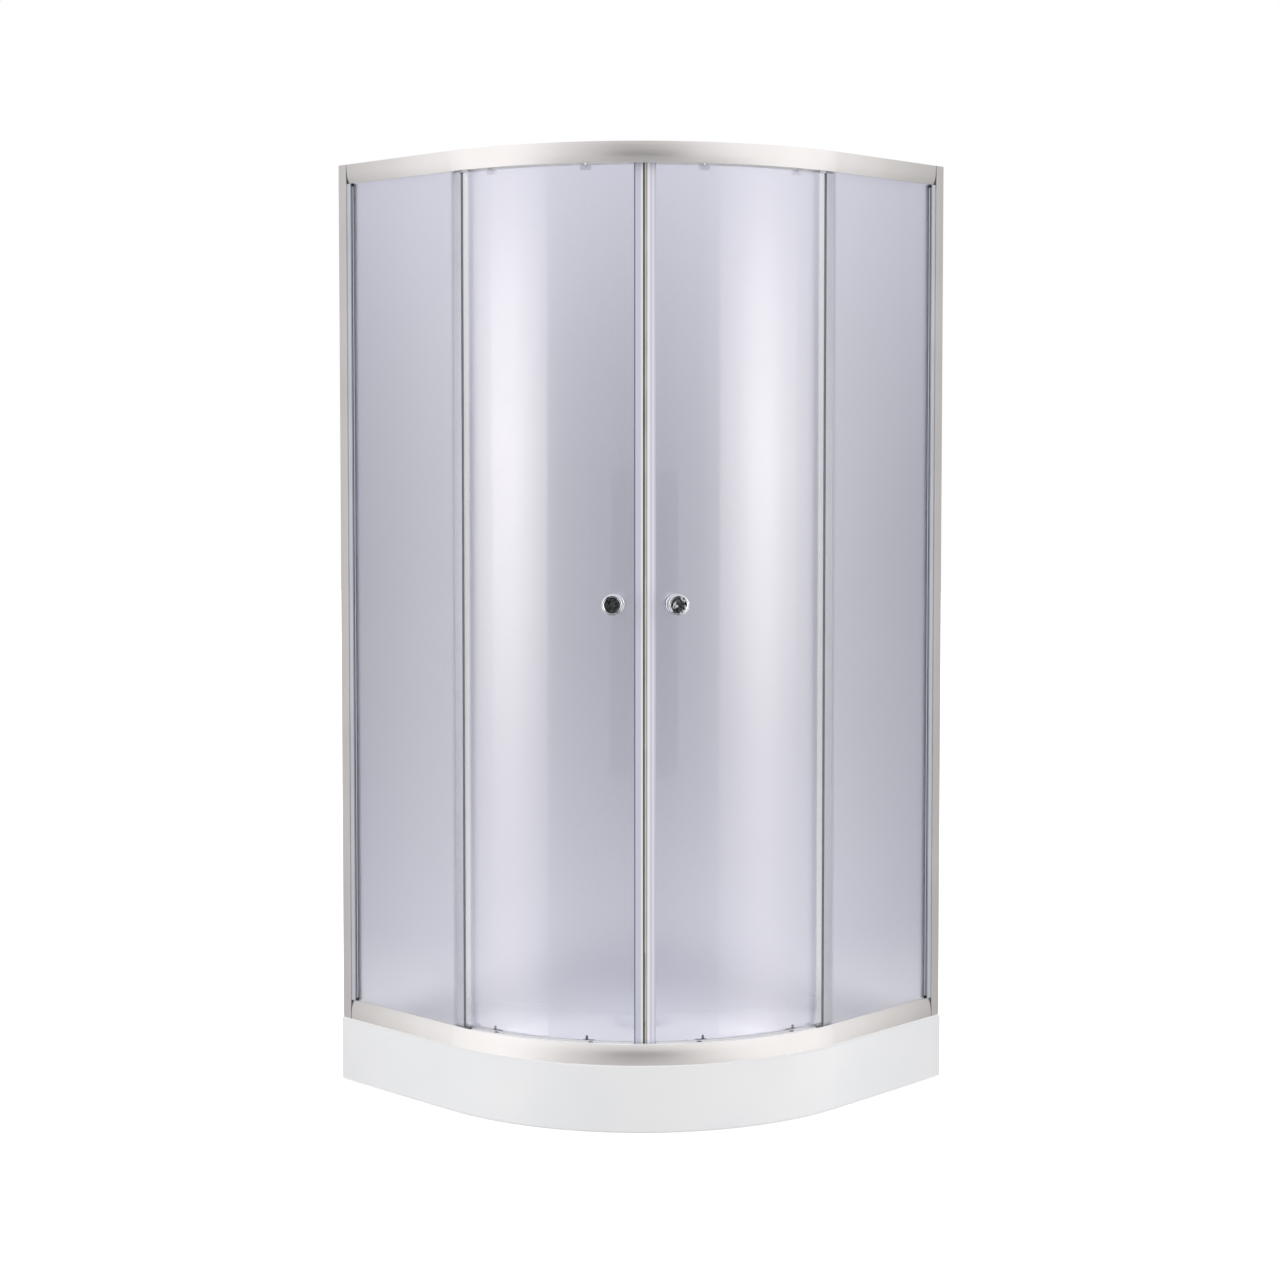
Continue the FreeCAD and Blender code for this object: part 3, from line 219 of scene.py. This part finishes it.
# The glazing gasket, its outer bead through the pane, the bead's tip along it, and its two ends, in metres
GASKET = dict(dark=(142, 144, 149), light=(156, 158, 163), clouds=18.0, rough=(0.52, 0.66), grain=FINE,
              relief=(0.12, 0.0003))
BEAD_THROUGH = (-0.445, -0.4374)
BEAD_COLOUR = (46, 48, 52)
BEAD_TIP_ALONG = (-0.4119, -0.405)
# Painted light: the bead's tip is pale so that it and its mirror image in the pane read light
BEAD_TIP_PAINTED_LIGHT_COLOUR = (224, 225, 234)
GASKET_ENDS = ((0.16, 0.1786), (1.8844, 1.91))
GASKET_END_COLOUR = (24, 24, 27)
INNER_BEAD_ALPHA = 0.12

# Glass: its tint is painted paler at its foot, as painted light from the bright tray seen through it. A
# door's glass is clearer there and behind the fixed pane, and its upper and lower edges are painted white and
# opaque, as painted light over the shade of the rail channels. Heights and places along the pane in metres.
GLASS = dict(dark=(213, 213, 228), light=(216, 216, 231), clouds=2.0, rough=(0.27, 0.32), grain=FINE,
             relief=(0.01, 0.0002), Transmission_Weight=1.0, IOR=1.5, Specular_IOR_Level=0.0,
             Coat_Weight=1.0, Coat_Roughness=0.015)
PAINTED_LIGHT_FOOT = (0.17, 0.36)
PAINTED_LIGHT_FOOT_COLOUR = (230, 230, 241)
CLEAR_FOOT = (0.178, 0.245)
CLEAR_FOOT_SHARE = 0.15
OVERLAP_ALONG = (-0.3, -0.075)
OVERLAP_COLOUR = (250, 250, 252)
PAINTED_LIGHT_EDGES = ((0.15, 0.1745), (1.8885, 1.92))
PAINTED_LIGHT_EDGE_COLOUR = (252, 252, 254)

# Stripes of the door seals: distance from the seam in metres, and display colour from there on
SEAM_SEAL = dict(dark=(238, 238, 241), light=(246, 246, 248), clouds=12.0, rough=(0.34, 0.44), grain=DRAWN,
                 relief=(0.06, 0.0002))
LEFT_STRIPES = ((0.0, (236, 236, 242)), (0.0075, (214, 215, 224)), (0.0095, (204, 206, 222)),
                (0.0193, (74, 74, 82)))
RIGHT_STRIPES = ((0.0, (240, 240, 246)), (0.009, (212, 212, 226)), (0.0135, (226, 226, 236)),
                 (0.018, (200, 200, 214)))
STRIPE_REACH = 0.03


def srgb(red, green, blue):
    """A colour given in display values from 0 to 255, as linear light."""
    def linear(value):
        value = value / 255.0
        return value / 12.92 if value <= 0.04045 else ((value + 0.055) / 1.055) ** 2.4
    return (linear(red), linear(green), linear(blue), 1.0)


def grey(level):
    """A linear grey."""
    return (level, level, level, 1.0)


def diagonal(side, away, height):
    """A place given across and along the room corner's diagonal."""
    return Vector(((side + away) * DIAGONAL, (side - away) * DIAGONAL, height))


class Tree:
    """A node tree with short calls for the nodes that the materials share."""

    def __init__(self, holder):
        holder.use_nodes = True
        self.nodes = holder.node_tree.nodes
        self.links = holder.node_tree.links
        self.shader = self.nodes.get("Principled BSDF")

    def add(self, kind, **inputs):
        """A new node with its inputs fed by name, where an underscore stands for a blank."""
        node = self.nodes.new("ShaderNode" + kind)
        for socket, value in inputs.items():
            self.feed(node.inputs[socket.replace("_", " ")], value)
        return node

    def feed(self, socket, value):
        """Links another node's output to an input, or sets a plain value on it."""
        if isinstance(value, bpy.types.NodeSocket):
            self.links.new(value, socket)
        else:
            socket.default_value = value

    def join(self, kind, first, second, **inputs):
        """A mix or a sum of two shaders."""
        node = self.add(kind, **inputs)
        sockets = [socket for socket in node.inputs if socket.type == "SHADER"]
        for socket, shader in zip(sockets, (first, second)):
            self.links.new(shader.outputs[0], socket)
        return node

    def show(self, shader):
        """Makes a shader the surface of the material or the world."""
        output = next(node for node in self.nodes if node.type.startswith("OUTPUT"))
        self.links.new(shader.outputs[0], output.inputs["Surface"])

    def coords(self, scale=(1.0, 1.0, 1.0), kind="Object"):
        """Coordinates of one kind, scaled along each axis."""
        place = self.add("TexCoord").outputs[kind]
        return self.add("Mapping", Vector=place, Scale=scale).outputs["Vector"]

    def part(self, vector, axis):
        """One coordinate of a vector."""
        return self.add("SeparateXYZ", Vector=vector).outputs[axis]

    def along(self, vector, direction):
        """How far a vector reaches in a direction."""
        node = self.add("VectorMath")
        node.operation = "DOT_PRODUCT"
        self.feed(node.inputs[0], vector)
        self.feed(node.inputs[1], direction)
        return node.outputs["Value"]

    def noise(self, place, scale, detail=2.0):
        """Smooth noise over a place."""
        return self.add("TexNoise", Vector=place, Scale=scale, Detail=detail).outputs["Fac"]

    def spread(self, value, bounds=NOISE_RANGE, low=0.0, high=1.0, smooth=False):
        """A value between two bounds, spread from low to high and held beyond them."""
        node = self.add("MapRange", Value=value, From_Min=bounds[0], From_Max=bounds[1], To_Min=low,
                        To_Max=high)
        node.interpolation_type = "SMOOTHSTEP" if smooth else "LINEAR"
        return node.outputs["Result"]

    def ramp(self, value, stops, last=None, step=False):
        """A colour read off a row of (place, colour) stops; step holds each colour up to the next stop."""
        first = stops[0][0]
        last = stops[-1][0] if last is None else last
        node = self.add("ValToRGB", Fac=self.spread(value, (first, last)))
        node.color_ramp.interpolation = "CONSTANT" if step else "LINEAR"
        points = node.color_ramp.elements
        points.remove(points[1])
        for place, _ in stops[1:]:
            points.new((place - first) / (last - first))
        for point, (_, colour) in zip(points, stops):
            point.color = colour
        return node.outputs["Color"]

    def levels(self, value, stops):
        """A grey read off a row of (place, level) stops."""
        return self.ramp(value, [(place, grey(level)) for place, level in stops])

    def mix(self, value, first, second):
        """A colour between two, by a value from 0 to 1."""
        node = self.add("Mix")
        node.data_type = "RGBA"
        self.feed(node.inputs["Factor"], value)
        colours = [socket for socket in node.inputs if socket.type == "RGBA"]
        self.feed(colours[0], first)
        self.feed(colours[1], second)
        return next(socket for socket in node.outputs if socket.type == "RGBA")

    def calculate(self, operation, *values):
        """The result of one Math node."""
        node = self.add("Math")
        node.operation = operation
        for socket, value in zip(node.inputs, values):
            self.feed(socket, value)
        return node.outputs[0]

    def times(self, first, second):
        """A product."""
        return self.calculate("MULTIPLY", first, second)

    def within(self, value, bounds):
        """1 where a value lies between two bounds, and 0 elsewhere."""
        low, high = bounds
        return self.calculate("COMPARE", value, (low + high) / 2, abs(high - low) / 2)

    def relief(self, height, strength, depth):
        """A surface direction from a height."""
        return self.add("Bump", Height=height, Strength=strength, Distance=depth).outputs["Normal"]


def make_world():
    """White to the camera. Other rays meet a pale room that is darker straight before and behind the part."""
    world = bpy.data.worlds.new("studio")
    bpy.context.scene.world = world
    tree = Tree(world)
    tree.nodes.remove(tree.nodes["Background"])
    way = tree.coords(kind="Generated")
    lean = tree.along(way, diagonal(0.0, 1.0, 0.0))
    height = tree.part(way, "Z")
    swing = math.radians(FRONT_SWING)
    facing = tree.along(way, diagonal(math.sin(swing), math.cos(swing), 0.0))
    front = tree.levels(facing, FRONT_LEVELS)
    back = tree.levels(height, BACK_LEVELS)
    side = tree.levels(height, SIDE_LEVELS)
    sky = tree.levels(height, SKY_LEVELS)
    beside = tree.mix(tree.spread(lean, BACK_TURN), back, side)
    around = tree.mix(tree.spread(lean, FRONT_TURN), beside, front)
    under = tree.mix(tree.spread(height, SKY_RISE), around, sky)
    room = tree.mix(tree.spread(height, GROUND_RISE), under, grey(GROUND_LEVEL))
    lit = tree.add("Background", Color=room)
    seen = tree.add("Background", Color=grey(BACKDROP))
    tree.show(tree.join("MixShader", lit, seen, Fac=tree.add("LightPath").outputs["Is Camera Ray"]))


def add_sheet(name, columns, material):
    """A sheet of the stage from (bottom, top) columns, with its sheet map along and up it."""
    mesh = bpy.data.meshes.new(name)
    count = len(columns)
    faces = [(2 * i, 2 * i + 2, 2 * i + 3, 2 * i + 1) for i in range(count - 1)]
    mesh.from_pydata([tuple(end) for column in columns for end in column], [], faces)
    layer = mesh.uv_layers.new(name="sheet")
    for loop in mesh.loops:
        column, end = divmod(loop.vertex_index, 2)
        layer.data[loop.index].uv = (column / (count - 1), end)
    sheet = bpy.data.objects.new(name, mesh)
    mesh.materials.append(material)
    bpy.context.scene.collection.objects.link(sheet)
    return sheet


def upright_columns(side, aways, heights):
    """The columns of a flat upright sheet at one side."""
    return [tuple(diagonal(side, away, height) for height in heights) for away in aways]


def hide(sheet, *rays):
    """Hides a sheet of the stage from some kinds of ray."""
    for ray in rays:
        setattr(sheet, "visible_" + ray, False)


def make_floor():
    """A pale studio floor that glows a little, so that it stays as light as the backdrop."""
    material = bpy.data.materials.new("studio_floor")
    tree = Tree(material)
    cloud = tree.spread(tree.noise(tree.coords(), FLOOR_CLOUDS))
    inputs = tree.shader.inputs
    tree.feed(inputs["Base Color"], tree.mix(cloud, srgb(*FLOOR_DARK), srgb(*FLOOR_LIGHT)))
    inputs["Roughness"].default_value = FLOOR_ROUGHNESS
    inputs["Specular IOR Level"].default_value = 0.0
    inputs["Emission Color"].default_value = grey(1.0)
    inputs["Emission Strength"].default_value = FLOOR_GLOW
    columns = [((x, -FLOOR_HALF, 0.0), (x, FLOOR_HALF, 0.0)) for x in (-FLOOR_HALF, FLOOR_HALF)]
    hide(add_sheet("studio_floor", columns, material), "diffuse", "glossy", "transmission")


def bare_material(name):
    """A material without a shader, and its tree."""
    material = bpy.data.materials.new(name)
    tree = Tree(material)
    tree.nodes.remove(tree.shader)
    return material, tree


def make_softbox(name, profile, mirrors):
    """A tall curved light for the mirrors alone: sharp on its inner side, fading outwards, up and down.

    It glows for rays that something has mirrored, and adds to whatever lies behind it.
    """
    material, tree = bare_material(name)
    material.cycles.emission_sampling = "NONE"
    place = tree.add("TexCoord").outputs["UV"]
    start, end = profile[0][0], profile[-1][0]
    bottom, top = BOX_HEIGHTS[0][0], BOX_HEIGHTS[-1][0]
    across = tree.levels(tree.spread(tree.part(place, "X"), UNIT, start, end), profile)
    upward = tree.levels(tree.spread(tree.part(place, "Y"), UNIT, bottom, top), BOX_HEIGHTS)
    level = tree.times(tree.times(across, upward), BOX_RADIANCE)
    mirrored = tree.calculate("MINIMUM", tree.add("LightPath").outputs["Glossy Depth"], 1.0)
    glow = tree.add("Emission", Strength=tree.times(level, mirrored), Color=BOX_WARMTH)
    tree.show(tree.join("AddShader", glow, tree.add("BsdfTransparent")))
    columns = []
    for step in range(BOX_COLUMNS + 1):
        angle = math.radians(start + (end - start) * step / BOX_COLUMNS)
        side, away = BOX_REACH * math.sin(angle), BOX_CENTRE_AWAY + BOX_REACH * math.cos(angle)
        columns.append((diagonal(side, away, bottom), diagonal(side, away, top)))
    sheet = add_sheet(name, columns, material)
    hide(sheet, "camera", "diffuse", "shadow")
    sheet.light_linking.receiver_collection = mirrors


def make_panel(name, side, radiance):
    """A pale panel beside the part, with a soft rear end."""
    material, tree = bare_material(name)
    across = tree.levels(tree.part(tree.add("TexCoord").outputs["UV"], "X"), PANEL_LEVELS)
    tree.show(tree.add("Emission", Strength=tree.times(across, radiance)))
    hide(add_sheet(name, upright_columns(side, PANEL_AWAY, PANEL_HEIGHT), material), "camera", "shadow")


def make_fill(name, side):
    """A panel beside the part that only lights matt surfaces."""
    material, tree = bare_material(name)
    tree.show(tree.add("Emission", Strength=FILL_RADIANCE))
    sheet = add_sheet(name, upright_columns(side, FILL_AWAY, FILL_HEIGHT), material)
    hide(sheet, "camera", "glossy", "transmission", "shadow")


def make_card():
    """A dark card behind the camera, which is only mirrored."""
    material, tree = bare_material("dark_card")
    cloud = tree.noise(tree.coords(), CARD_GRAIN)
    tree.show(tree.add("Emission", Strength=tree.spread(cloud, CARD_CONTRAST, CARD_DARK, CARD_LIGHT)))
    columns = [tuple(diagonal(side, CARD_AWAY, height) for height in CARD_HEIGHT) for side in CARD_SIDE]
    hide(add_sheet("dark_card", columns, material), "camera", "diffuse", "shadow")


def make_camera():
    """Looks along the corner's diagonal, tipped down a little, with the rest of the drop in its shift."""
    data = bpy.data.cameras.new("camera")
    data.sensor_width = SENSOR_WIDTH
    data.lens = FOCAL_PIXELS / IMAGE_SIZE * SENSOR_WIDTH
    data.shift_y = CAMERA_SHIFT
    tip = math.radians(CAMERA_TIP)
    yaw = math.radians(CAMERA_YAW)
    level = diagonal(math.sin(yaw), -math.cos(yaw), 0.0)
    forward = level * math.cos(tip) - Vector(UP) * math.sin(tip)
    right = level.cross(Vector(UP))
    upward = right.cross(forward)
    camera = bpy.data.objects.new("camera", data)
    axes = Matrix((right, upward, -forward)).transposed().to_4x4()
    camera.matrix_world = Matrix.Translation(diagonal(CAMERA_SIDE, CAMERA_AWAY, CAMERA_HEIGHT)) @ axes
    bpy.context.scene.collection.objects.link(camera)
    bpy.context.scene.camera = camera


def make_finish(name, dark, light, clouds, rough, grain, relief, **fixed):
    """A principled material with clouded colour, uneven roughness and a fine relief."""
    material = bpy.data.materials.new(name)
    tree = Tree(material)
    inputs = tree.shader.inputs
    for socket, value in fixed.items():
        inputs[socket.replace("_", " ")].default_value = value
    cloud = tree.noise(tree.coords(), clouds)
    texture = tree.noise(tree.coords(grain), 1.0)
    tree.feed(inputs["Base Color"], tree.mix(tree.spread(cloud), srgb(*dark), srgb(*light)))
    tree.feed(inputs["Roughness"], tree.spread(texture, NOISE_RANGE, *rough))
    tree.feed(inputs["Normal"], tree.relief(texture, *relief))
    return material


def paint(material, colour, *limits):
    """Gives a material another colour within limits, each (direction, (low, high)). Returns where that is."""
    tree = Tree(material)
    base = tree.shader.inputs["Base Color"]
    place = tree.coords()
    inside = [tree.within(tree.along(place, way), bounds) for way, bounds in limits]
    where = inside[0]
    for other in inside[1:]:
        where = tree.times(where, other)
    tree.feed(base, tree.mix(where, base.links[0].from_socket, srgb(*colour)))
    return where


def fade(material, where, elsewhere, inside):
    """Lets a material's alpha differ between a place and the rest."""
    tree = Tree(material)
    tree.feed(tree.shader.inputs["Alpha"], tree.spread(where, UNIT, elsewhere, inside))


def pane_ways(turned):
    """The directions along and through the left fixed pane, or those of the right one when turned."""
    return ((0.0, -1.0, 0.0), (-1.0, 0.0, 0.0)) if turned else ((1.0, 0.0, 0.0), (0.0, 1.0, 0.0))


def make_gasket(name, turned):
    """Grey rubber with a dark outer bead and black ends. The bead's tip is painted pale, as painted light, so
    that it and its mirror image in the pane read light.
    """
    material = make_finish(name, **GASKET)
    along, through = pane_ways(turned)
    bead = paint(material, BEAD_COLOUR, (through, BEAD_THROUGH))
    paint(material, BEAD_TIP_PAINTED_LIGHT_COLOUR, (along, BEAD_TIP_ALONG), (through, BEAD_THROUGH))
    fade(material, bead, INNER_BEAD_ALPHA, 1.0)
    for bounds in GASKET_ENDS:
        paint(material, GASKET_END_COLOUR, (UP, bounds))
    return material


def make_vinyl(name, turned):
    """Clear vinyl with a dark spine over the pane's edge."""
    material = make_finish(name, **VINYL)
    along, through = pane_ways(turned)
    spine = paint(material, SPINE_COLOUR, (along, SPINE_ALONG), (through, SPINE_THROUGH))
    fade(material, spine, VINYL_ALPHA, SPINE_ALPHA)
    return material


def make_striped(name, stripes):
    """A door's seam seal: rows of white and clear vinyl beside the magnet, and a dark line at the outer edge
    of the left seal.
    """
    material = make_finish(name, **SEAM_SEAL)
    tree = Tree(material)
    across = tree.along(tree.coords(), diagonal(1.0, 0.0, 0.0))
    rows = [(place, srgb(*colour)) for place, colour in stripes]
    colour = tree.ramp(tree.calculate("ABSOLUTE", across), rows, STRIPE_REACH, step=True)
    tree.feed(tree.shader.inputs["Base Color"], colour)
    return material


def make_glass(name):
    """Tinted glass: a soft view through it under a sharp gloss. Its tint is painted paler at its foot, as
    painted light from the bright tray seen through it.
    """
    material = make_finish(name, **GLASS)
    tree = Tree(material)
    base = tree.shader.inputs["Base Color"]
    # Painted light: the tint is paler towards the foot, for the bright tray seen through it
    foot = tree.spread(tree.part(tree.coords(), "Z"), PAINTED_LIGHT_FOOT, 1.0, 0.0, smooth=True)
    tree.feed(base, tree.mix(foot, base.links[0].from_socket, srgb(*PAINTED_LIGHT_FOOT_COLOUR)))
    return material


def make_door_glass(name, turned):
    """Tinted glass, clearer at its foot and behind the fixed pane, with upper and lower edges painted white
    and opaque, as painted light over the shade of the rail channels behind them.
    """
    material = make_glass(name)
    tree = Tree(material)
    inputs = tree.shader.inputs
    rough = inputs["Roughness"].links[0].from_socket
    height = tree.part(tree.coords(), "Z")
    share = tree.spread(height, CLEAR_FOOT, CLEAR_FOOT_SHARE, 1.0, smooth=True)
    tree.feed(inputs["Roughness"], tree.times(rough, share))
    along = pane_ways(turned)[0]
    paint(material, OVERLAP_COLOUR, (along, OVERLAP_ALONG))
    # Painted light: the upper and lower edges are white and opaque where the shaded rail channels would show
    # through
    lower, upper = [paint(material, PAINTED_LIGHT_EDGE_COLOUR, (UP, bounds)) for bounds in PAINTED_LIGHT_EDGES]
    painted_light_edges = tree.calculate("ADD", lower, upper)
    tree.feed(inputs["Transmission Weight"], tree.spread(painted_light_edges, UNIT, 1.0, 0.0))
    return material


def make_finishes():
    """One material for each slot of the record, and more for the nodes that differ within a slot."""
    made = {name: make_finish(name, **facts) for name, facts in FINISHES.items()}
    # Painted shade: the tray's flat rim is darker, as if shaded by the rail standing on it
    paint(made["white_acrylic"], RIM_PAINTED_SHADE_COLOUR, (UP, RIM_HEIGHT))
    # Painted light: the clips and roller discs at the top are painted lighter than the same parts below,
    # where they sit in shade; the discs there are also made almost clear
    paint(made["glass_clips"], UPPER_CLIP_PAINTED_LIGHT_COLOUR, (UP, UPPER_HALF))
    upper = paint(made["roller_disc"], UPPER_DISC_PAINTED_LIGHT_COLOUR, (UP, UPPER_HALF))
    fade(made["roller_disc"], upper, 1.0, CLEAR_ALPHA)
    made["tinted_glass"] = make_glass("tinted_glass")
    for side, turned, stripes in (("left", False, LEFT_STRIPES), ("right", True, RIGHT_STRIPES)):
        made["door_glass_" + side] = make_door_glass("door_glass_" + side, turned)
        made["fixed_edge_seal_" + side] = make_vinyl("clear_vinyl_" + side, turned)
        made["glazing_gasket_" + side] = make_gasket("gasket_" + side, turned)
        made["magnet_seal_" + side] = make_striped("seam_seal_" + side, stripes)
        for node, name in NODE_FINISHES.items():
            made[node + "_" + side] = made[name]
    return made


def dress(finishes):
    """Gives every CAD node its own material, or that of its slot. Returns the nodes of glass and chrome."""
    mirrors = bpy.data.collections.new("mirrors")
    for part in frame["record"]["subparts"]:
        node = frame["nodes"][part["node"]]
        slot = part["material_slot"]
        node.data.materials.clear()
        node.data.materials.append(finishes.get(part["node"], finishes[slot]))
        if slot in MIRROR_SLOTS:
            mirrors.objects.link(node)
    return mirrors


def make_springs():
    """Copies of the release springs with meshes of their own, on their joints' parent bodies, in place of the
    stiff ones.
    """
    for joint in frame["record"]["behaviour"]["joints"]:
        if not joint["name"].startswith("release"):
            continue
        node = joint["name"].replace("release", "release_spring")
        stiff = frame["nodes"][node]
        coil = bpy.data.objects.new(node + "_coil", stiff.data.copy())
        bpy.context.scene.collection.objects.link(coil)
        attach(coil, joint["parent"])
        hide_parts(node)
        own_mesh(coil)


bpy.context.scene.view_settings.view_transform = "Standard"
make_world()
make_floor()
mirrors = dress(make_finishes())
make_springs()
make_softbox("softbox_left", LEFT_BOX, mirrors)
make_softbox("softbox_right", RIGHT_BOX, mirrors)
make_panel("panel_left", -PANEL_SIDE, LEFT_PANEL)
make_panel("panel_right", PANEL_SIDE, RIGHT_PANEL)
make_fill("fill_left", -FILL_SIDE)
make_fill("fill_right", FILL_SIDE)
make_card()
make_camera()
